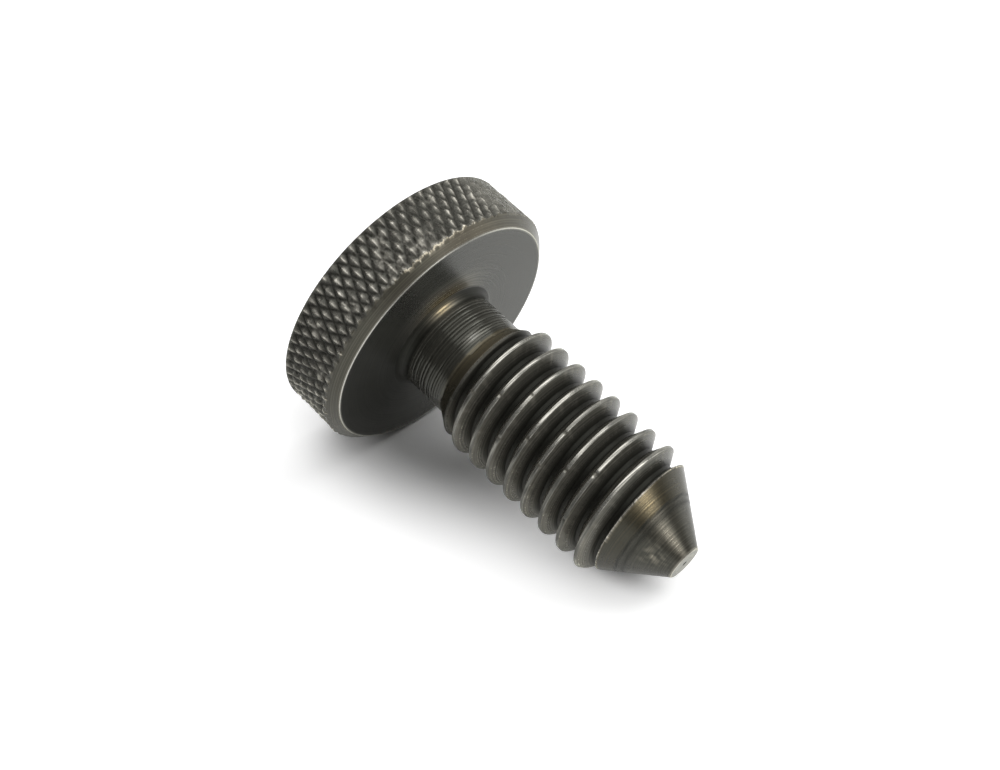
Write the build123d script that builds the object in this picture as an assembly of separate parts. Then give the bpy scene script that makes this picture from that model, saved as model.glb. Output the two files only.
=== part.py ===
from build123d import *
import os
from math import cos, pi, radians, sin, tan

# Locking bolt, in mm. It is modelled along its own axis, with 0 at the underside
# of the head, the tip at +Z and the head below 0, and is laid on its side at the end.

# Head
knurl_radius = 9.70
head_height = 4.60
seat_radius = 8.92
seat_chamfer_height = 0.74
top_edge_break = 0.05

# Diamond knurl: two sets of straight-sided grooves that cross at this angle to the axis
groove_count = 72
groove_angle = 30
groove_depth = 0.26
knurl_turn = 2.23
knurl_rows = 9

# Neck between the head and the thread
neck_radius = 3.72
neck_fillet = 0.60
shoulder_start = 3.90
shoulder_end = 5.50

# Right-hand thread, 3/8 in across with 16 turns to the inch
thread_radius = 25.4 * 3 / 8 / 2
pitch = 25.4 / 16
thread_depth = 0.6134 * pitch
root_flat = pitch / 6
thread_half_angle = 30
thread_turn = 124.9
first_crest = 5.55
groove_turns = 10

# Tip
shank_length = 22.20
tip_cone_start = 17.46
tip_radius = 1.20
centre_mark_radius = 0.18
centre_mark_depth = 0.12

# Lying on the rim of the head and the last turn of the thread, the tip points down a little
lying_tilt = 15.22


# Points of one level of the knurl, peaks and groove crossings in turn
def knurl_ring(level, height):
    points = []
    for corner in range(2 * groove_count):
        is_peak = (corner + level) % 2 == 0
        radius = knurl_radius if is_peak else knurl_radius - groove_depth
        turn = radians(knurl_turn) + pi * corner / groove_count
        points.append(Vector(radius * cos(turn), radius * sin(turn), height))
    return points


# The sloping sides of the pyramids between two levels
def knurl_strip(level, lower, upper):
    sides = []
    for here in range(len(lower)):
        after = (here + 1) % len(lower)
        if (here + level) % 2 == 0:
            corners = [(lower[here], lower[after], upper[here])]
            corners.append((lower[after], upper[after], upper[here]))
        else:
            corners = [(lower[here], lower[after], upper[after])]
            corners.append((lower[here], upper[after], upper[here]))
        for three in corners:
            sides.append(Face(Wire.make_polygon(three, close=True)))
    return sides


# A knurled bar, longer than the head at both ends
def knurled_bar():
    level_rise = pi * knurl_radius / groove_count / tan(radians(groove_angle))
    bottom = -head_height / 2 - level_rise * (knurl_rows - 1) / 2
    rings = []
    for level in range(knurl_rows):
        rings.append(knurl_ring(level, bottom + level * level_rise))
    faces = []
    for level in range(knurl_rows - 1):
        faces += knurl_strip(level, rings[level], rings[level + 1])
    faces.append(Face(Wire.make_polygon(rings[0], close=True)))
    faces.append(Face(Wire.make_polygon(rings[-1], close=True)))
    return Solid(Shell(faces))


# The turned outline that the knurled bar is cut to: flat top, wide chamfer under the head
def head_outline():
    margin = 0.25
    outside = knurl_radius + margin
    chamfer_slope = seat_chamfer_height / (knurl_radius - seat_radius)
    chamfer_end = -(outside - seat_radius) * chamfer_slope
    profile = Polyline(
        (0, -head_height),
        (knurl_radius - top_edge_break, -head_height),
        (outside, -head_height + top_edge_break + margin),
        (outside, chamfer_end),
        (seat_radius, 0),
        (0, 0),
        close=True,
    )
    return revolve(Plane.XZ * make_face(profile), Axis.Z, 360)


# A bar with the thread along all of it, longer than the shank at both ends
def threaded_bar():
    margin = 2.0
    above_crest = 0.10
    root_radius = thread_radius - thread_depth
    root_half = root_flat / 2
    mouth = thread_depth + above_crest
    mouth_half = root_half + mouth * tan(radians(thread_half_angle))
    section = Polyline(
        (0, -root_half),
        (mouth, -mouth_half),
        (mouth, mouth_half),
        (0, root_half),
        close=True,
    )
    section_plane = Plane(origin=(root_radius, 0, 0), x_dir=(1, 0, 0), z_dir=(0, -1, 0))
    path = Helix(pitch, pitch * groove_turns, root_radius)
    groove = sweep(section_plane * make_face(section), path=path, is_frenet=True)
    groove = Location((0, 0, first_crest - 1.5 * pitch)) * groove
    bar = Cylinder(
        thread_radius,
        shank_length + 2 * margin,
        align=(Align.CENTER, Align.CENTER, Align.MIN),
    )
    bar = Location((0, 0, -margin)) * bar
    return Rotation(0, 0, thread_turn) * (bar - groove)


# The turned outline that the threaded bar is cut to: fillet, neck, shoulder, cone and tip
def shank_outline():
    overlap = 1.0
    outside = 0.25
    fillet_foot = neck_radius + neck_fillet
    full_radius = thread_radius + outside
    shoulder_slope = (shoulder_end - shoulder_start) / (thread_radius - neck_radius)
    cone_slope = (shank_length - tip_cone_start) / (thread_radius - tip_radius)
    shoulder_top = shoulder_end + outside * shoulder_slope
    cone_foot = tip_cone_start - outside * cone_slope
    outline = [
        Line((0, -overlap), (fillet_foot, -overlap)),
        Line((fillet_foot, -overlap), (fillet_foot, 0)),
        RadiusArc((fillet_foot, 0), (neck_radius, neck_fillet), neck_fillet),
        Line((neck_radius, neck_fillet), (neck_radius, shoulder_start)),
        Line((neck_radius, shoulder_start), (full_radius, shoulder_top)),
        Line((full_radius, shoulder_top), (full_radius, cone_foot)),
        Line((full_radius, cone_foot), (tip_radius, shank_length)),
        Line((tip_radius, shank_length), (centre_mark_radius, shank_length)),
        Line((centre_mark_radius, shank_length), (0, shank_length - centre_mark_depth)),
        Line((0, shank_length - centre_mark_depth), (0, -overlap)),
    ]
    return revolve(Plane.XZ * make_face(outline), Axis.Z, 360)


# The whole bolt along its own axis
def bolt():
    head = knurled_bar() & head_outline()
    shank = threaded_bar() & shank_outline()
    return head + shank


# Turned to its resting place, with the box's middle over the origin and its underside at 0
def lie_down(part):
    laid = Rotation(0, 90 + lying_tilt, 0) * part
    box = laid.bounding_box()
    centre = box.center()
    return Location((-centre.X, -centre.Y, -box.min.Z)) * laid


os.makedirs("parts", exist_ok=True)
locking_bolt = lie_down(bolt())
export_step(locking_bolt, "parts/locking_bolt.step")
box = locking_bolt.bounding_box()
print("valid", locking_bolt.is_valid, "solids", len(locking_bolt.solids()))
print("volume mm3", round(locking_bolt.volume, 1), "size mm", box.size)
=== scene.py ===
import bmesh
import bpy
from math import atan2, cos, degrees, exp, hypot, pi, radians, sin, tan
from mathutils import Matrix, Vector, noise


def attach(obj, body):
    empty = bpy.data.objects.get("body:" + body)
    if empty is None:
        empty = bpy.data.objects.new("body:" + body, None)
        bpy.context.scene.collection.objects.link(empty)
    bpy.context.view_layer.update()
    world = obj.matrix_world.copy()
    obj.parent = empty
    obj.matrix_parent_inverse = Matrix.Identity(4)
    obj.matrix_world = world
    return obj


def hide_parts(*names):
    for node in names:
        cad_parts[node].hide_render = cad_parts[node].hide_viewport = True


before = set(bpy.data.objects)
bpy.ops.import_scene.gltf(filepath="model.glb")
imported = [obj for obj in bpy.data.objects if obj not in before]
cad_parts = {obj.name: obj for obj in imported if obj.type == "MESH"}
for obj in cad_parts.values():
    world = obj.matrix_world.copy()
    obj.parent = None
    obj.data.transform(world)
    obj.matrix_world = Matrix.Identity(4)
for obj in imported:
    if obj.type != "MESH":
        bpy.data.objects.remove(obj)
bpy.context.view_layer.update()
print("frame loaded")

# The bolt is modelled in mm along its own axis, 0 under the head and the tip at +Z,
# and is laid down at the end. Turns are in degrees round that axis.
mm = 0.001

onSurface = 0.01         # mm within which a place counts as on an outline
nearEnough = 0.02        # mm within which two radii or levels count as the same
sameHeight = 0.002       # mm
sameTurn = 0.01          # degrees
smallestRow = 0.03       # mm, no row of faces is made lower than this
mergeDistance = 0.0005   # mm


# Shape helpers

# From 1 at no distance to 0 some way off
def fadeOff(away, spread):
    return exp(-(away / spread) ** 2)


def clamped(share):
    return max(0.0, min(1.0, share))


def addChain(bm, points):
    verts = [bm.verts.new((radius, 0.0, height)) for radius, height in points]
    edges = [bm.edges.new(pair) for pair in zip(verts, verts[1:])]
    return verts + edges


def spinChain(bm, points, columns, rise=0.0):
    geom = addChain(bm, points)
    bmesh.ops.spin(
        bm,
        geom=geom,
        cent=(0, 0, 0),
        axis=(0, 0, 1),
        dvec=(0, 0, rise / columns),
        angle=2 * pi,
        steps=columns,
        use_merge=rise == 0,
        use_normal_flip=False,
        use_duplicate=False,
    )


def turnOf(place):
    return degrees(atan2(place.y, place.x))


def setRadius(vert, radius):
    now = hypot(vert.co.x, vert.co.y)
    if now > 1e-6:
        vert.co.x *= radius / now
        vert.co.y *= radius / now


def rimEdges(bm, radius, height):
    found = []
    for edge in bm.edges:
        if edge.is_boundary:
            near = [
                abs(hypot(v.co.x, v.co.y) - radius) < nearEnough
                and abs(v.co.z - height) < sameHeight
                for v in edge.verts
            ]
            if all(near):
                found.append(edge)
    return found


def joinRims(bm, first, second):
    edges = rimEdges(bm, *first) + rimEdges(bm, *second)
    bmesh.ops.bridge_loops(bm, edges=edges)


# Cuts a turned surface down to an outline, and moves the nearest vertex onto each line
# where the two surfaces cross, so that the edge between them is clean
def trimTo(bm, limitAt):
    onCrossing = {}
    for edge in bm.edges:
        low, high = sorted(edge.verts, key=lambda v: v.co.z)
        turnGap = abs(turnOf(low.co) - turnOf(high.co))
        if turnGap < sameTurn or turnGap > 360 - sameTurn:
            overLow = hypot(low.co.x, low.co.y) - limitAt(low.co.z)
            overHigh = hypot(high.co.x, high.co.y) - limitAt(high.co.z)
            if overLow * overHigh < 0:
                share = overLow / (overLow - overHigh)
                near = low if share < 0.5 else high
                onCrossing.setdefault(near, low.co.lerp(high.co, share))
    for vert, place in onCrossing.items():
        vert.co = place
    for vert in bm.verts:
        limit = limitAt(vert.co.z)
        if hypot(vert.co.x, vert.co.y) > limit:
            setRadius(vert, limit)


# Head

head = {
    "radius": 9.70,
    "height": 4.60,
    "topEdge": 0.05,
    "seatRadius": 8.92,
    "chamferHeight": 0.74,
    "topRing": 0.20,       # width of the outermost ring of faces on the top
    "seatRing": 0.12,      # and on the underside
    "columns": 720,        # steps round
    "topColumns": 120,
    "topRadii": (0.0, 0.3, 1.0, 2.5, 4.0, 5.5, 7.0, 8.2, 9.0),
}

knurl = {
    "grooves": 72,
    "angle": 30,               # between a groove and the bolt's axis
    "depth": 0.26,
    "turn": 2.23,              # where one peak stands
    "peakHeight": -2.30,       # and at what height
    "wear": 0.07,              # mm that the most worn peaks have lost
    "leastWorn": 0.2,          # share of that on the least worn
    "dents": 0.10,             # mm, how rough the sides of the diamonds are
    "dentSizes": (3.1, 7.3),   # scale of the coarse and the fine noise, in a mm
    "fineDents": 0.6,          # depth of the fine dents against the coarse
    "deepest": 0.03,           # mm that a dent may go below the valleys
    "rubbedFrom": 112,         # turns between which the diamonds are rubbed away
    "rubbedTo": 160,
    "rubbedFade": 9,
    "rubbedShare": 0.85,       # how much of their depth is gone there
    "shallowFrom": -1.05,      # height above which the valleys get shallower
    "shallowOver": 0.35,
    "shallowShare": 0.5,
    "knockDepth": 0.16,        # mm lost in the middle of a battered spot
    "knockRoughness": 1.3,     # how much more it is dented than the rest
    "knocks": [                # turn, height and size in mm of the battered spots
        (194.8, -1.5, 0.80), (198.0, -2.4, 0.35), (204.6, -3.4, 0.40), (205.5, -1.4, 0.45),
        (209.5, -2.3, 0.45), (211.0, -1.0, 0.50), (207.0, -3.0, 0.30), (230.0, -1.9, 0.45),
        (247.0, -3.1, 0.40), (262.0, -1.7, 0.50), (178.0, -3.8, 0.35), (160.0, -2.6, 0.40),
    ],
}

diamondHeight = 2 * pi * head["radius"] / knurl["grooves"] / tan(radians(knurl["angle"]))


# A place counted in grooves of either slant, whole numbers at a peak
def knurlCell(turn, height):
    around = (turn - knurl["turn"]) / 360 * knurl["grooves"]
    along = (height - knurl["peakHeight"]) / diamondHeight
    return around + along, around - along


# How far the diamonds are rubbed away, from 0 to 1
def rubbedAt(turn):
    inside = min(turn % 360 - knurl["rubbedFrom"], knurl["rubbedTo"] - turn % 360)
    return clamped(inside / knurl["rubbedFade"])


# How battered a place is, from 0 to 1
def knockedAt(turn, height):
    hardest = 0.0
    for middle, level, size in knurl["knocks"]:
        away = hypot(head["radius"] * radians(turn % 360 - middle), height - level)
        hardest = max(hardest, fadeOff(away, size))
    return hardest


def dentsAt(turn, height):
    place = Vector((cos(radians(turn)), sin(radians(turn)), 0)) * head["radius"]
    place.z = height
    coarse, fine = knurl["dentSizes"]
    dents = noise.noise(place * coarse) + knurl["fineDents"] * noise.noise(place * fine)
    return abs(knurl["dents"] * dents)


def knurlRadius(turn, height):
    first, second = knurlCell(turn, height)
    cut = max(abs(first - round(first)), abs(second - round(second))) * 2
    count = knurl["grooves"]
    peak = Vector((round(first) % count + 0.5, round(second) % count + 0.5, 0.5))
    worn = knurl["wear"] * (knurl["leastWorn"] + (1 - knurl["leastWorn"]) * noise.cell(peak))
    shallow = clamped((height - knurl["shallowFrom"]) / knurl["shallowOver"])
    depth = knurl["depth"] * (1 - knurl["rubbedShare"] * rubbedAt(turn))
    depth *= 1 - knurl["shallowShare"] * shallow
    knocked = knockedAt(turn, height)
    worn = max(worn, knurl["knockDepth"] * knocked)
    down = max(depth * cut, worn)
    down += dentsAt(turn, height) * (1 + knurl["knockRoughness"] * knocked)
    return head["radius"] - min(down, knurl["depth"] + knurl["deepest"])


# Outline of chamfer and top edge that the knurl is cut down to
def headLimit(height):
    slope = (head["radius"] - head["seatRadius"]) / head["chamferHeight"]
    chamfer = head["seatRadius"] - height * slope
    topEdge = head["radius"] - head["topEdge"] + height + head["height"]
    return min(chamfer, topEdge)


# Last rows before the underside, where the chamfer cuts the knurl away
chamferRows = [-0.42 + 0.08 * step for step in range(6)]


# Rows that fall on the peaks and in the valleys
def knurlRows():
    step = diamondHeight * knurl["grooves"] / head["columns"]
    height = knurl["peakHeight"]
    while height - step > -head["height"] + smallestRow:
        height -= step
    rows = []
    while height < chamferRows[0] - 2 * smallestRow:
        rows.append(height)
        height += step
    return rows


def makeHead(bm):
    topRadius = head["radius"] - head["topEdge"]
    points = [(topRadius - head["topRing"], -head["height"]), (topRadius, -head["height"])]
    points += [(head["radius"], height) for height in knurlRows() + chamferRows]
    points.append((head["seatRadius"], 0.0))
    points.append((head["seatRadius"] - head["seatRing"], 0.0))
    spinChain(bm, points, head["columns"])
    bmesh.ops.rotate(
        bm,
        verts=bm.verts,
        cent=(0, 0, 0),
        matrix=Matrix.Rotation(radians(knurl["turn"]), 3, "Z"),
    )
    for vert in bm.verts:
        if -head["height"] + mergeDistance < vert.co.z < -mergeDistance:
            setRadius(vert, knurlRadius(turnOf(vert.co), vert.co.z))
    trimTo(bm, headLimit)


def makeTop(bm):
    points = [(radius, -head["height"]) for radius in head["topRadii"]]
    spinChain(bm, points, head["topColumns"])


# Neck

shank = {
    "neckRadius": 3.72,
    "fillet": 0.60,
    "shoulderStart": 3.90,
    "shoulderEnd": 5.50,
    "coneStart": 17.46,
    "length": 22.20,
    "tipRadius": 1.20,
    "neckJoin": 3.60,     # where the level rings of the neck meet the turns of the thread
    "coneJoin": 20.30,
}

neck = {
    "seatRadii": [8.7 - 0.58 * step for step in range(8)],   # rings on the head's underside
    "filletRows": 10,
    "rowHeight": 0.045,
    "ringHalfWidth": 0.042,
    "rings": {   # height of each fine ring left by the tool, and its depth in mm
        0.92: 0.012, 1.11: 0.022, 1.41: 0.020, 1.62: 0.010, 1.88: 0.028, 2.11: 0.020,
        2.45: 0.026, 2.62: 0.012, 2.86: 0.040, 3.08: 0.026, 3.28: 0.030, 3.46: 0.018,
    },
}


def neckPoints():
    points = [(radius, 0.0) for radius in neck["seatRadii"]]
    foot = shank["neckRadius"] + shank["fillet"]
    for row in range(neck["filletRows"] + 1):
        angle = radians(90 * row / neck["filletRows"])
        height = shank["fillet"] * (1 - cos(angle))
        points.append((foot - shank["fillet"] * sin(angle), height))
    height = shank["fillet"] + neck["rowHeight"]
    while height < shank["neckJoin"] - smallestRow:
        dip = 0.0
        for ring, depth in neck["rings"].items():
            dip += depth * fadeOff(height - ring, neck["ringHalfWidth"])
        points.append((shank["neckRadius"] - dip, height))
        height += neck["rowHeight"]
    return points


def makeNeck(bm):
    spinChain(bm, neckPoints(), thread["columns"])


# Thread

thread = {
    "radius": 4.7625,
    "pitch": 1.5875,
    "depth": 0.97377,
    "halfAngle": 30,                          # of the groove between two crests
    "turn": 124.9,
    "firstCrest": 5.55,                       # height of the crest at that turn
    "edgeRows": (-0.012, 0.010),              # rows either side of the crest's edge
    "flankRows": (0.14, 0.27, 0.41, 0.54),    # mm along from the middle of the crest
    "columns": 240,
}

crestHalf = thread["pitch"] / 16
flankSlope = tan(radians(thread["halfAngle"]))


# Rows of one turn of the thread from crest to root and up again, close together at the crest
def sectionRows():
    half = thread["pitch"] / 2
    flankHalf = crestHalf + thread["depth"] * flankSlope
    edgeRows = [crestHalf + row for row in thread["edgeRows"]]
    down = [0.0, *edgeRows, *thread["flankRows"], flankHalf, half]
    return down + [thread["pitch"] - row for row in down[-2:0:-1]]


def threadRadius(fromCrest):
    fromCrest = abs((fromCrest + thread["pitch"] / 2) % thread["pitch"] - thread["pitch"] / 2)
    down = max(0.0, fromCrest - crestHalf) / flankSlope
    return thread["radius"] - min(down, thread["depth"])


# Outline of neck, shoulder and cone that the thread is cut down to
def shankLimit(height):
    upSlope = (thread["radius"] - shank["neckRadius"]) / (
        shank["shoulderEnd"] - shank["shoulderStart"]
    )
    downSlope = (thread["radius"] - shank["tipRadius"]) / (
        shank["length"] - shank["coneStart"]
    )
    shoulder = shank["neckRadius"] + (height - shank["shoulderStart"]) * upSlope
    cone = thread["radius"] - (height - shank["coneStart"]) * downSlope
    return min(max(shoulder, shank["neckRadius"]), cone)


crestNicks = {
    "depth": 0.07,
    "turnSpread": 1.6,
    "heightSpread": 0.5,
    "reach": 0.05,        # mm below the crest that are dented with it
    "places": [           # turn and height of each
        (227.7, 10.69), (230.8, 6.12), (217.7, 7.30), (224.9, 13.89), (205.0, 12.4),
        (243.0, 9.2), (212.0, 15.5), (236.0, 12.3), (201.0, 8.8), (255.0, 15.6),
        (120.0, 11.5), (40.0, 9.0), (330.0, 13.1), (85.0, 14.6), (300.0, 7.4), (10.0, 12.1),
    ],
}


def nickCrests(bm):
    for vert in bm.verts:
        radius = hypot(vert.co.x, vert.co.y)
        if radius > thread["radius"] - crestNicks["reach"]:
            turn = turnOf(vert.co) % 360
            dent = 0.0
            for nickTurn, nickHeight in crestNicks["places"]:
                near = fadeOff(turn - nickTurn, crestNicks["turnSpread"])
                near *= fadeOff(vert.co.z - nickHeight, crestNicks["heightSpread"])
                dent += crestNicks["depth"] * near
            setRadius(vert, radius - dent)


def makeThread(bm):
    pitch = thread["pitch"]
    crest = thread["firstCrest"] - pitch * thread["turn"] / 360
    while crest > shank["neckJoin"] - pitch:
        crest -= pitch
    points = []
    while crest < shank["coneJoin"] + pitch:
        for rise in sectionRows():
            points.append((threadRadius(rise), crest + rise))
        crest += pitch
    spinChain(bm, points, thread["columns"], rise=pitch)
    bmesh.ops.remove_doubles(bm, verts=bm.verts, dist=mergeDistance)
    nickCrests(bm)
    trimTo(bm, shankLimit)
    for height, direction in ((shank["neckJoin"], -1), (shank["coneJoin"], 1)):
        bmesh.ops.bisect_plane(
            bm,
            geom=bm.verts[:] + bm.edges[:] + bm.faces[:],
            dist=mergeDistance,
            plane_co=(0, 0, height),
            plane_no=(0, 0, direction),
            clear_outer=True,
        )


# Tip

tip = {
    "coneRows": (20.40, 20.60, 20.85, 21.10, 21.35, 21.60, 21.85, 22.05, 22.17),
    "endRadii": (1.19, 1.10, 0.80, 0.50, 0.28),
    "centreMark": ((0.18, 0.0), (0.10, 0.06), (0.0, 0.12)),   # radius and depth
}


def tipPoints():
    points = [(shankLimit(height), height) for height in tip["coneRows"]]
    points += [(radius, shank["length"]) for radius in tip["endRadii"]]
    points += [(radius, shank["length"] - depth) for radius, depth in tip["centreMark"]]
    return points


def makeTip(bm):
    spinChain(bm, tipPoints(), thread["columns"])


# Whole bolt

# Each part is turned in a mesh of its own, which keeps the spins quick, and then added
def addPart(bm, make):
    part = bmesh.new()
    make(part)
    kept = bpy.data.meshes.new("part")
    part.to_mesh(kept)
    part.free()
    bm.from_mesh(kept)
    bpy.data.meshes.remove(kept)


def buildBolt():
    bm = bmesh.new()
    addPart(bm, makeHead)
    addPart(bm, makeTop)
    print("head turned and knurled")
    addPart(bm, makeThread)
    print("thread cut")
    addPart(bm, makeNeck)
    addPart(bm, makeTip)
    print("neck and tip turned")
    bmesh.ops.remove_doubles(bm, verts=bm.verts, dist=mergeDistance)
    topRing = head["radius"] - head["topEdge"] - head["topRing"]
    joinRims(bm, (head["topRadii"][-1], -head["height"]), (topRing, -head["height"]))
    joinRims(bm, (head["seatRadius"] - head["seatRing"], 0.0), (neck["seatRadii"][0], 0.0))
    joinRims(bm, neckPoints()[-1], (shank["neckRadius"], shank["neckJoin"]))
    joinRims(bm, (shankLimit(shank["coneJoin"]), shank["coneJoin"]), tipPoints()[0])
    bmesh.ops.recalc_face_normals(bm, faces=bm.faces)
    print("open edges", sum(not edge.is_manifold for edge in bm.edges))
    return bm


# Finish

# Each place on the bolt has four shares from 0 to 1: how worn, with painted highlights added to
# the wear;
# how darkened by painted shade; how tool marked; and how brown it is. A spot is a turn and a
# height with its spread round and along the bolt.
def nearTurn(turn, middle, spread):
    return fadeOff((turn - middle + 180) % 360 - 180, spread)


def nearSpot(turn, height, spot):
    middleTurn, middleHeight, turnSpread, heightSpread = spot
    return nearTurn(turn, middleTurn, turnSpread) * fadeOff(height - middleHeight, heightSpread)


# Soft random patches, so many in a degree and in a mm; the third number picks the pattern
def patchesAt(turn, height, patches):
    perDegree, perMm, pattern = patches
    return noise.noise(Vector((turn * perDegree, height * perMm, pattern)))


leastWear = 0.02

topLook = {
    "wear": 0.12,
    "turned": 0.6,
    "brown": 0.2,
}

chamferLook = {
    "from": -0.7,         # height above which faces count as the chamfer's
    "wear": 0.08,
    # painted highlight where the light falls on the chamfer
    "litSpot": (178, -0.2, 16, 1.0),
    "litWear": 0.18,
    "burrHighlightTurn": 192,      # where the knurl's burr on the chamfer's upper edge is worn and painted bright as a highlight
    "burrHighlightSpread": 16,
    "leastBurrHighlight": 0.4,
    "burrDepth": 0.03,    # mm that the knurl stands over the chamfer there
    "burrWear": 0.70,
    "brown": 0.6,
}


def chamferFinish(turn, radius, height):
    onEdge = knurlRadius(turn, height) - radius < chamferLook["burrDepth"]
    wear = chamferLook["wear"]
    # Painted highlight on the lit part of the chamfer
    wear += chamferLook["litWear"] * nearSpot(turn, height, chamferLook["litSpot"])
    # The burr is worn bare, and painted bright as a highlight only on the lit side
    burrHighlight = nearTurn(turn, chamferLook["burrHighlightTurn"], chamferLook["burrHighlightSpread"])
    if onEdge and burrHighlight > chamferLook["leastBurrHighlight"]:
        wear = chamferLook["burrWear"]
    return wear, 0.0, 1.0, chamferLook["brown"]


knurlLook = {             # widths and places on a diamond are in grooves
    "wear": 0.15,
    "ridgeWear": 1.5,     # the painted glint down the middle of each diamond, on worn bare steel
    "ridgeWidth": 0.16,
    "ridgeLength": 0.62,
    "ridgeMiddle": 0.22,
    "hookWear": 0.8,      # the short painted glint across it
    "hookWidth": 0.12,
    "hookLength": 0.30,
    "hookMiddle": -0.10,
    "knockWear": 0.8,
    "rubbedWear": 0.25,
    "patches": (0.35, 2.3, 3.0),
    "patchMiddle": 0.6,
    "patchSwing": 1.1,
    "paintedShadeFrom": 0.55,     # how far down a groove the painted shade starts, as a share of its depth
    "paintedShadeRise": 1.2,
    "brown": 0.2,
}


def knurlFinish(turn, radius, height):
    first, second = knurlCell(turn, height)
    first, second = first - round(first), second - round(second)
    aside, along = first + second, first - second
    ridge = fadeOff(aside, knurlLook["ridgeWidth"])
    ridge *= max(0.0, 1 - abs(along - knurlLook["ridgeMiddle"]) / knurlLook["ridgeLength"])
    hook = fadeOff(along - knurlLook["hookMiddle"], knurlLook["hookWidth"])
    hook *= fadeOff(aside - knurlLook["hookMiddle"], knurlLook["hookLength"])
    rubbed = rubbedAt(turn)
    # Painted glints along the worn ridges, fewer where the diamonds are rubbed away
    bright = (1 - rubbed) * (knurlLook["ridgeWear"] * ridge + knurlLook["hookWear"] * hook)
    bright += knurlLook["knockWear"] * knockedAt(turn, height)
    bright += knurlLook["rubbedWear"] * rubbed
    patch = knurlLook["patchMiddle"]
    patch += knurlLook["patchSwing"] * patchesAt(turn, height, knurlLook["patches"])
    cut = (head["radius"] - radius) / knurl["depth"]
    # Painted shade, darker deeper in the grooves
    paintedShade = max(0.0, cut - knurlLook["paintedShadeFrom"]) * knurlLook["paintedShadeRise"] * (1 - rubbed)
    return clamped(knurlLook["wear"] + bright * patch), paintedShade, 0.0, knurlLook["brown"]


seatLook = {
    "from": 4.0,          # radius at which the underside of the head takes over from the fillet
    "wear": 0.03,
    "edgeWearAndHighlight": 0.6,
    "stainTurn": 190,     # the brown stain on the underside of the head
    "stainSpread": 34,
    "stainRadius": 4.4,
    "stainWidth": 1.1,
    "stainWear": 0.26,
    # painted shade where the underside reflects the bolt's shadow on the floor
    "paintedShadeTurn": 290,
    "paintedShadeSpread": 62,
    "paintedShade": 0.75,
}


def seatFinish(turn, radius):
    stain = nearTurn(turn, seatLook["stainTurn"], seatLook["stainSpread"])
    stain *= fadeOff(radius - seatLook["stainRadius"], seatLook["stainWidth"])
    # The outer edge of the underside: a worn edge, painted bright as the highlight of its
    # rounding
    if radius > head["seatRadius"] - nearEnough:
        return seatLook["edgeWearAndHighlight"], 0.0, 1.0, stain
    # Painted shade, where the underside reflects the shadowed floor
    paintedShade = seatLook["paintedShade"] * nearTurn(turn, seatLook["paintedShadeTurn"], seatLook["paintedShadeSpread"])
    return seatLook["wear"] + seatLook["stainWear"] * stain, paintedShade, 1.0, stain


neckLook = {
    "wear": 0.04,
    "glowSpot": (196, 0.3, 18, 0.35),      # the warm painted highlight in the fillet
    "glowWear": 0.42,
    "streakSpot": (195, 3.1, 9, 0.28),     # the white painted highlight at the far end of the neck
    "streakWear": 0.22,
    "filletPaintedShade": 0.75,
    "paintedShadeTo": 0.7,
    "brown": 0.3,
}


def neckFinish(turn, height):
    glow = nearSpot(turn, height, neckLook["glowSpot"])
    streak = nearSpot(turn, height, neckLook["streakSpot"])
    # Painted highlights: a warm one in the fillet and a white one on the neck
    wear = neckLook["wear"] + neckLook["glowWear"] * glow + neckLook["streakWear"] * streak
    # Painted shade in the fillet, except under its painted highlight
    paintedShade = neckLook["filletPaintedShade"] * (1 - glow) if height < neckLook["paintedShadeTo"] else 0.0
    # The warm painted highlight is made brown, the white one not brown at all
    brown = neckLook["brown"] + (1 - neckLook["brown"]) * glow
    return wear, paintedShade, 1.0, brown * (1 - streak)


endLook = {
    "depth": 0.2,         # the flat end and its centre mark lie within these
    "radius": 1.25,
    "wear": 0.24,
    "rimWear": 0.45,
    "rimWidth": 0.06,
    "pitWear": 0.05,
    "pitRadius": 0.22,
    "brown": 0.2,
}


def endFinish(radius):
    wear = endLook["wear"]
    if radius > shank["tipRadius"] - endLook["rimWidth"]:
        wear = endLook["rimWear"]
    if radius <= endLook["pitRadius"]:
        wear = endLook["pitWear"]
    return wear, 0.0, 1.0, endLook["brown"]


# How far the thread stands out over the neck, shoulder or cone that it is cut down to
def overLimit(turn, height):
    crest = thread["firstCrest"] + thread["pitch"] * (turn - thread["turn"]) / 360
    return threadRadius(height - crest) - shankLimit(height)


coneLook = {
    "wear": 0.045,
    # painted highlights where the light falls on the cone, one near its base and one near the tip
    "baseSpot": (198, 18.5, 11, 0.9),
    "baseWear": 0.42,
    "tipSpot": (200, 21.0, 9, 1.3),
    "tipWear": 0.34,
    "roughSpot": (236, 20.9, 20, 0.7),
    "roughWear": 0.5,
    "roughPatches": (0.12, 3.0, 1.0),
    "leastRough": -0.1,
    "darkRings": ((19.45, 0.07, 1.0), (19.8, 0.10, 0.8)),   # height, half width and strength of each ring of painted shade, for a shallow groove
    "ringPaintedShade": 0.6,
    "brownTo": 19.4,
    "tipBrown": 0.5,
    "burrDepth": 0.07,    # mm over the cone below which the end of the thread is a bright burr
    "burrWear": 0.45,
    "burrSwing": 0.9,
    "burrPatches": (0.35, 0.0, 2.0),
    "burrBrown": 0.1,
}


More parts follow.
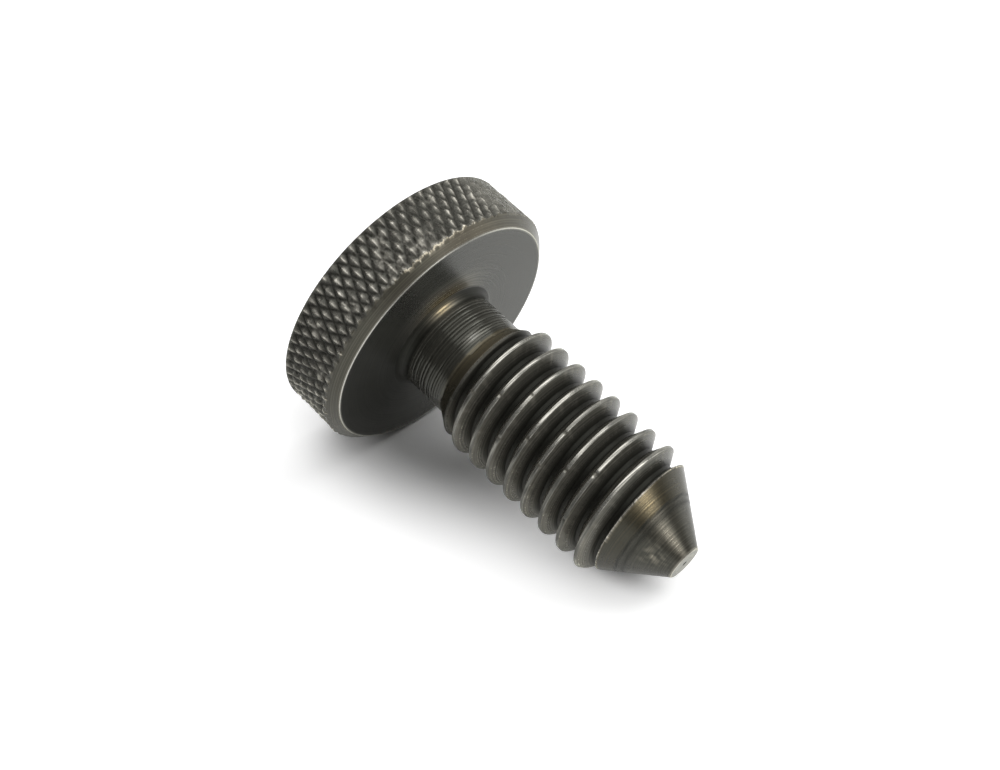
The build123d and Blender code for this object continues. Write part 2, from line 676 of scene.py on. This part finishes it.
def coneFinish(turn, height):
    wear = coneLook["wear"]
    # Painted highlights on the lit side of the cone
    wear += coneLook["baseWear"] * nearSpot(turn, height, coneLook["baseSpot"])
    wear += coneLook["tipWear"] * nearSpot(turn, height, coneLook["tipSpot"])
    rough = max(0.0, patchesAt(turn, height, coneLook["roughPatches"]) - coneLook["leastRough"])
    wear += coneLook["roughWear"] * rough * nearSpot(turn, height, coneLook["roughSpot"])
    brown = 1.0 if height < coneLook["brownTo"] else coneLook["tipBrown"]
    if overLimit(turn, height) < coneLook["burrDepth"]:
        wear = coneLook["burrWear"]
        wear += coneLook["burrSwing"] * patchesAt(turn, height, coneLook["burrPatches"])
        brown = coneLook["burrBrown"]
    # Dark rings: painted shade of a shallow groove round the cone
    ring = 0.0
    for ringHeight, halfWidth, strength in coneLook["darkRings"]:
        ring = max(ring, strength * fadeOff(height - ringHeight, halfWidth))
    paintedShade = coneLook["ringPaintedShade"] * ring
    return max(leastWear, wear * (1 - paintedShade)), paintedShade, 1.0, brown


fadeLook = {
    "wear": 0.05,
    "litTurn": 195,
    "litSpread": 30,
    "landWear": 0.08,
    "edgeWearAndHighlight": 0.6,
    "edgeDepth": 0.09,    # how near to the land the thread is cut where the edge is bright
    "brown": 0.9,
    "edgeBrown": 0.1,
}


# The thread fading into the neck: painted highlight on the lit side, mostly along the worn land
# edges
def fadeFinish(turn, height):
    edge = max(0.0, 1 - overLimit(turn, height) / fadeLook["edgeDepth"])
    lit = nearTurn(turn, fadeLook["litTurn"], fadeLook["litSpread"])
    wear = fadeLook["wear"] + (fadeLook["landWear"] + fadeLook["edgeWearAndHighlight"] * edge) * lit
    brown = fadeLook["brown"] + (fadeLook["edgeBrown"] - fadeLook["brown"]) * edge
    return wear, 0.0, 1.0, brown


threadLook = {
    "crestDepth": 0.03,   # how far below the top a place still has the crest's finish
    "crestWear": 0.14,
    # painted highlight on the crests where the light falls on them
    "litTurn": 195,
    "litSpread": 38,
    "litWear": 0.30,
    "crestSwing": 0.24,
    "crestPatches": (0.07, 2.0, 0.0),
    "crestBrown": 0.1,
    "flankWear": 0.10,
    "deepWear": -0.09,    # for each mm down the flank
    # painted reflection of the floor on the lower side of the flanks
    "lowTurn": 290,
    "lowSpread": 45,
    "lowWear": 0.16,
    "scuffWear": 0.25,
    "scuffPatches": (0.18, 2.4, 5.0),
    "leastScuff": 0.1,
    "scuffsTo": 0.9,      # mm down the flank
    "flankBrown": 0.35,
    "paintedShadeFrom": 0.45,     # mm down the flank where the painted shade starts
    "paintedShadeRise": 1.5,
}


def crestFinish(turn, height):
    wear = threadLook["crestWear"]
    # Painted highlight on the crests of the lit side
    wear += threadLook["litWear"] * nearTurn(turn, threadLook["litTurn"], threadLook["litSpread"])
    wear += threadLook["crestSwing"] * patchesAt(turn, height, threadLook["crestPatches"])
    return wear, 0.0, 1.0, threadLook["crestBrown"]


def flankFinish(turn, height, down):
    lowSide = nearTurn(turn, threadLook["lowTurn"], threadLook["lowSpread"])
    scuffs = patchesAt(turn, height, threadLook["scuffPatches"]) - threadLook["leastScuff"]
    wear = threadLook["flankWear"] + threadLook["deepWear"] * down
    # Painted reflection of the floor, lighter on the lower side
    wear += threadLook["lowWear"] * lowSide
    wear += threadLook["scuffWear"] * max(0.0, scuffs) * (threadLook["scuffsTo"] - down)
    # Painted shade, darker deeper down the flank towards the root
    paintedShade = max(0.0, down - threadLook["paintedShadeFrom"]) * threadLook["paintedShadeRise"]
    return max(leastWear, wear), paintedShade, 1.0, threadLook["flankBrown"]


def finishAt(turn, radius, height):
    turn = turn % 360
    down = thread["radius"] - radius
    cutDown = radius > shankLimit(height) - onSurface
    if height < -head["height"] + nearEnough:
        return topLook["wear"], 0.0, topLook["turned"], topLook["brown"]
    if height < -nearEnough:
        onChamfer = height > chamferLook["from"] and abs(radius - headLimit(height)) < onSurface
        finish = chamferFinish if onChamfer else knurlFinish
        return finish(turn, radius, height)
    if height < nearEnough and radius > seatLook["from"]:
        return seatFinish(turn, radius)
    if height < shank["neckJoin"]:
        return neckFinish(turn, height)
    if height > shank["length"] - endLook["depth"] and radius < endLook["radius"]:
        return endFinish(radius)
    if cutDown and height > shank["coneStart"] - onSurface:
        return coneFinish(turn, height)
    if cutDown and height < shank["shoulderEnd"]:
        return fadeFinish(turn, height)
    if down < threadLook["crestDepth"]:
        return crestFinish(turn, height)
    return flankFinish(turn, height, down)


def paintFinish(bm):
    layers = [bm.verts.layers.float.new(name) for name in ("wear", "paintedShade", "turned", "brown")]
    for vert in bm.verts:
        radius = hypot(vert.co.x, vert.co.y)
        for layer, value in zip(layers, finishAt(turnOf(vert.co), radius, vert.co.z)):
            vert[layer] = value


# Smooth all over, with a hard edge at each corner sharper than this many degrees
sharpCorner = 24


def shade(bm):
    for face in bm.faces:
        face.smooth = True
    for edge in bm.edges:
        edge.smooth = edge.calc_face_angle(0.0) < radians(sharpCorner)


lying = {
    "tilt": 15.22,                            # how far the tip points down
    "seatCentre": (-7.3822, 0.0, 9.1347),     # middle of the head's underside, mm
}


def layDown(bm):
    turn = Matrix.Rotation(radians(90 + lying["tilt"]), 4, "Y")
    place = Matrix.Scale(mm, 4) @ Matrix.Translation(lying["seatCentre"]) @ turn
    bmesh.ops.transform(bm, matrix=place, verts=bm.verts)


def addPiece(name, bm, material):
    mesh = bpy.data.meshes.new(name)
    bm.to_mesh(mesh)
    bm.free()
    piece = bpy.data.objects.new(name, mesh)
    bpy.context.scene.collection.objects.link(piece)
    mesh.materials.append(material)
    return piece


# Material

# Adds a node with its inputs joined or set, and gives the output asked for
def addNode(tree, kind, inputs, output=0, **settings):
    made = tree.nodes.new(kind)
    for name, value in settings.items():
        setattr(made, name, value)
    for socket, value in inputs.items():
        if isinstance(value, bpy.types.NodeSocket):
            tree.links.new(value, made.inputs[socket])
        else:
            made.inputs[socket].default_value = value
    return made.outputs[output]


def mathNode(tree, operation, *values, clamp=False):
    return addNode(
        tree, "ShaderNodeMath", dict(enumerate(values)), operation=operation, use_clamp=clamp
    )


def mixColours(tree, share, first, second):
    return addNode(
        tree, "ShaderNodeMix", {0: share, 6: first, 7: second}, 2, data_type="RGBA"
    )


def noiseNode(tree, place, size):
    scale, detail, roughness = size
    inputs = {"Scale": scale, "Detail": detail, "Roughness": roughness, **place}
    dimensions = "1D" if "W" in place else "3D"
    return addNode(tree, "ShaderNodeTexNoise", inputs, noise_dimensions=dimensions)


def placeNode(tree, location, rotation, scale):
    inputs = {
        "Vector": addNode(tree, "ShaderNodeTexCoord", {}, "Object"),
        "Location": location,
        "Rotation": rotation,
        "Scale": scale,
    }
    return addNode(tree, "ShaderNodeMapping", inputs, vector_type="TEXTURE")


def lengthNode(tree, vector):
    return addNode(tree, "ShaderNodeVectorMath", {0: vector}, "Value", operation="LENGTH")


# Share from 0 to 1 that rises smoothly between two values
def riseNode(tree, value, start, end):
    return addNode(
        tree,
        "ShaderNodeMapRange",
        {"Value": value, "From Min": start, "From Max": end},
        interpolation_type="SMOOTHSTEP",
    )


steelFinish = {
    "blackened": (0.012, 0.0125, 0.010, 1),   # the dark skin that most of the bolt keeps
    "bareSteelAndHighlight": (0.62, 0.61, 0.56, 1),            # where it is worn through, and where a highlight is painted
    "brown": (0.42, 0.34, 0.20, 1),           # thin film, mostly on cone, shoulder and fillet
    # near black, the colour of painted shade
    "paintedShade": (0.010, 0.010, 0.008, 1),
    "fineRings": (6.5, 2.0, 0.7),             # scale in a mm, detail and roughness of the noise
    "broadRings": (1.7, 3.0, 0.6),
    "mottle": (1.3, 6.0, 0.62),
    "speckle": (9.0, 4.0, 0.6),
    "ringContrast": (4.5, -1.9),
    "ringWear": 1.3,
    "roughness": 0.22,
    "speckleRoughness": 0.12,
    "bareAndHighlightRoughness": 0.08,
    "paintedShadeRoughness": 0.25,
    "sheen": 0.5,
    "paintedShadeSheen": -0.42,
    "sheenTint": (0.98, 1.0, 0.87, 1),
    "broadRingDepth": 0.8,                    # against the fine rings
    "speckleDepth": 10.0,                     # on the knurl, against the fine rings
    "turnedSpeckleDepth": 0.2,                # on turned faces
    "turnMarkDepth": 0.000006,                # m
}


def makeSteel():
    steel = bpy.data.materials.new("darkTurnedSteel")
    steel.use_nodes = True
    tree = steel.node_tree
    shader = tree.nodes["Principled BSDF"]

    # Rings round the bolt: noise that changes only along it or out from its axis
    middle = [mm * value for value in lying["seatCentre"]]
    onBolt = placeNode(tree, middle, (0, radians(90 + lying["tilt"]), 0), (mm, mm, mm))
    along = addNode(tree, "ShaderNodeSeparateXYZ", {0: onBolt}, "Z")
    across = addNode(
        tree, "ShaderNodeVectorMath", {0: onBolt, 1: (1, 1, 0)}, operation="MULTIPLY"
    )
    ringPlace = mathNode(tree, "SUBTRACT", along, lengthNode(tree, across))
    fineRings = noiseNode(tree, {"W": ringPlace}, steelFinish["fineRings"])
    broadRings = noiseNode(tree, {"W": ringPlace}, steelFinish["broadRings"])
    mottle = noiseNode(tree, {"Vector": onBolt}, steelFinish["mottle"])
    speckle = noiseNode(tree, {"Vector": onBolt}, steelFinish["speckle"])
    wear, paintedShade, turned, brown = (
        addNode(tree, "ShaderNodeAttribute", {}, "Fac", attribute_name=name)
        for name in ("wear", "paintedShade", "turned", "brown")
    )

    # Bare metal shows through where a place is worn or has a painted highlight, more so on some
    # of the rings
    patchy = mathNode(tree, "MULTIPLY_ADD", speckle, 0.5, 0.5)
    patchy = mathNode(tree, "MULTIPLY_ADD", mottle, 0.5, patchy)
    contrast, offset = steelFinish["ringContrast"]
    ringWear = mathNode(tree, "MULTIPLY_ADD", fineRings, contrast, offset, clamp=True)
    ringWear = mathNode(tree, "MULTIPLY", ringWear, turned)
    patchy = mathNode(tree, "MULTIPLY_ADD", ringWear, steelFinish["ringWear"], patchy)
    barenessAndHighlight = mathNode(tree, "MULTIPLY", wear, patchy, clamp=True)
    metal = mixColours(tree, brown, steelFinish["bareSteelAndHighlight"], steelFinish["brown"])
    colour = mixColours(tree, barenessAndHighlight, steelFinish["blackened"], metal)
    # Painted shade darkens the colour and takes away the metal's shine
    colour = mixColours(tree, paintedShade, colour, steelFinish["paintedShade"])
    tree.links.new(colour, shader.inputs["Base Color"])
    unshaded = mathNode(tree, "SUBTRACT", 1.0, paintedShade)
    metallic = mathNode(tree, "MULTIPLY", barenessAndHighlight, unshaded, clamp=True)
    tree.links.new(metallic, shader.inputs["Metallic"])

    smoothest = steelFinish["roughness"] - steelFinish["speckleRoughness"] / 2
    rough = mathNode(tree, "MULTIPLY_ADD", speckle, steelFinish["speckleRoughness"], smoothest)
    rough = mathNode(tree, "MULTIPLY_ADD", barenessAndHighlight, steelFinish["bareAndHighlightRoughness"], rough)
    # Painted shade also makes the surface rougher and its reflection dimmer
    rough = mathNode(tree, "MULTIPLY_ADD", paintedShade, steelFinish["paintedShadeRoughness"], rough)
    tree.links.new(rough, shader.inputs["Roughness"])
    sheen = mathNode(tree, "MULTIPLY_ADD", paintedShade, steelFinish["paintedShadeSheen"], steelFinish["sheen"])
    tree.links.new(sheen, shader.inputs["Specular IOR Level"])
    shader.inputs["Specular Tint"].default_value = steelFinish["sheenTint"]

    rings = mathNode(tree, "MULTIPLY_ADD", broadRings, steelFinish["broadRingDepth"], fineRings)
    rings = mathNode(tree, "MULTIPLY", rings, turned)
    onKnurl, onTurned = steelFinish["speckleDepth"], steelFinish["turnedSpeckleDepth"]
    pitted = mathNode(tree, "MULTIPLY_ADD", turned, onTurned - onKnurl, onKnurl)
    height = mathNode(tree, "MULTIPLY_ADD", speckle, pitted, rings)
    bump = addNode(
        tree,
        "ShaderNodeBump",
        {"Height": height, "Strength": 1.0, "Distance": steelFinish["turnMarkDepth"]},
    )
    tree.links.new(bump, shader.inputs["Normal"])
    return steel


boltMesh = buildBolt()
paintFinish(boltMesh)
shade(boltMesh)
print("finish painted")
layDown(boltMesh)
bolt = addPiece("boltBody", boltMesh, makeSteel())
print("triangles", sum(len(p.vertices) - 2 for p in bolt.data.polygons))
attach(bolt, "root")
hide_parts("locking_bolt")


# Floor

paper = {
    "halfSize": 0.35,
    "colour": (0.92, 0.92, 0.92, 1),
    "roughness": 0.9,
    "glow": 0.45,             # seen only by the camera and, less, in reflections
    "mirroredGlow": 0.5,      # share of it that reflections show
    "fullGlowFrom": 1.0,      # shaded places fade in from here, counted in half sizes
    "noGlowTo": 0.2,
    "shades": [               # middle and half size in m of the places without glow, where the bolt's shadow is painted
        ((-0.0082, -0.0008, 0), (0.0145, 0.0096, 1)),
        ((0.0085, -0.0002, 0), (0.0050, 0.0026, 1)),
    ],
}


# 0 at the middle of a place of painted shadow, 1 outside it
def glowAround(tree, middle, halfSize):
    away = lengthNode(tree, placeNode(tree, middle, (0, 0, 0), halfSize))
    return riseNode(tree, away, paper["noGlowTo"], paper["fullGlowFrom"])


def makePaper():
    material = bpy.data.materials.new("whitePaper")
    material.use_nodes = True
    tree = material.node_tree
    base = tree.nodes["Principled BSDF"]
    base.inputs["Base Color"].default_value = paper["colour"]
    base.inputs["Roughness"].default_value = paper["roughness"]
    base.inputs["Specular IOR Level"].default_value = 0.0
    base.inputs["Emission Color"].default_value = (1, 1, 1, 1)
    share = 1.0
    for middle, halfSize in paper["shades"]:
        share = mathNode(tree, "MULTIPLY", share, glowAround(tree, middle, halfSize))
    inCamera = addNode(tree, "ShaderNodeLightPath", {}, "Is Camera Ray")
    inMirror = addNode(tree, "ShaderNodeLightPath", {}, "Is Glossy Ray")
    inMirror = mathNode(tree, "MULTIPLY", inMirror, paper["mirroredGlow"])
    seen = mathNode(tree, "MAXIMUM", inCamera, inMirror)
    glow = mathNode(tree, "MULTIPLY", share, seen)
    glow = mathNode(tree, "MULTIPLY", glow, paper["glow"])
    tree.links.new(glow, base.inputs["Emission Strength"])
    return material


def makeFloor():
    bm = bmesh.new()
    bmesh.ops.create_grid(bm, x_segments=1, y_segments=1, size=paper["halfSize"])
    floor = addPiece("floor", bm, makePaper())


# Camera

photoCamera = {
    "lens": 50.12,
    "sensorWidth": 36,
    "place": (0.046576, -0.048784, 0.067748),
    "right": (0.70866, 0.70555, 0),
    "up": (-0.46232, 0.46436, 0.75540),
    "back": (0.53297, -0.53532, 0.65526),
}


def makeCamera():
    data = bpy.data.cameras.new("camera")
    data.lens = photoCamera["lens"]
    data.sensor_width = photoCamera["sensorWidth"]
    data.clip_start = 0.005
    data.clip_end = 20
    camera = bpy.data.objects.new("camera", data)
    bpy.context.scene.collection.objects.link(camera)
    sides = [photoCamera[side] for side in ("right", "up", "back")]
    turn = Matrix(sides).transposed().to_4x4()
    camera.matrix_world = Matrix.Translation(photoCamera["place"]) @ turn
    bpy.context.scene.camera = camera


# Light

roomLight = {
    "room": 0.03,
    "colour": (1.0, 1.0, 0.98, 1),
    "backdrop": 0.8,
    "backdropSide": (0.20, 0.97, 0.12),
    "backdropFrom": 0.75,     # cosines between which the backdrop's light rises
    "backdropTo": 0.97,
}


# A dim room with a light backdrop, which the camera itself sees as plain white
def makeRoom():
    world = bpy.data.worlds.new("room")
    bpy.context.scene.world = world
    world.use_nodes = True
    tree = world.node_tree
    direction = addNode(tree, "ShaderNodeTexCoord", {}, "Generated")
    towardBack = addNode(
        tree,
        "ShaderNodeVectorMath",
        {0: direction, 1: roomLight["backdropSide"]},
        "Value",
        operation="DOT_PRODUCT",
    )
    share = riseNode(tree, towardBack, roomLight["backdropFrom"], roomLight["backdropTo"])
    strength = mathNode(tree, "MULTIPLY_ADD", share, roomLight["backdrop"], roomLight["room"])
    room = tree.nodes["Background"]
    room.inputs["Color"].default_value = roomLight["colour"]
    tree.links.new(strength, room.inputs["Strength"])
    white = addNode(tree, "ShaderNodeBackground", {"Color": (1, 1, 1, 1)})
    inCamera = addNode(tree, "ShaderNodeLightPath", {}, "Is Camera Ray")
    seen = addNode(tree, "ShaderNodeMixShader", {0: inCamera, 1: room.outputs[0], 2: white})
    tree.links.new(seen, tree.nodes["World Output"].inputs["Surface"])


# Azimuth from +X and elevation, half width and half height, all in degrees, and radiance
softboxes = {
    "topBox": (90, 84, 34, 34, 1.7),
    "rightBox": (8, 32, 15, 14, 3.0),
    "backBox": (60, 50, 14, 14, 2.5),
}
softboxDistance = 0.7


def addSoftbox(name, azimuth, elevation, halfWide, halfHigh, radiance):
    az, el = radians(azimuth), radians(elevation)
    away = Vector((cos(el) * cos(az), cos(el) * sin(az), sin(el))) * softboxDistance
    data = bpy.data.lights.new(name, "AREA")
    data.shape = "RECTANGLE"
    data.size = 2 * softboxDistance * tan(radians(halfWide))
    data.size_y = 2 * softboxDistance * tan(radians(halfHigh))
    data.energy = radiance * pi * data.size * data.size_y
    lamp = bpy.data.objects.new(name, data)
    bpy.context.scene.collection.objects.link(lamp)
    lamp.location = away
    lamp.rotation_mode = "QUATERNION"
    lamp.rotation_quaternion = (-away).to_track_quat("-Z", "Y")


makeFloor()
makeCamera()
makeRoom()
for name, settings in softboxes.items():
    addSoftbox(name, *settings)
bpy.context.scene.view_settings.view_transform = "Standard"
print("stage set")
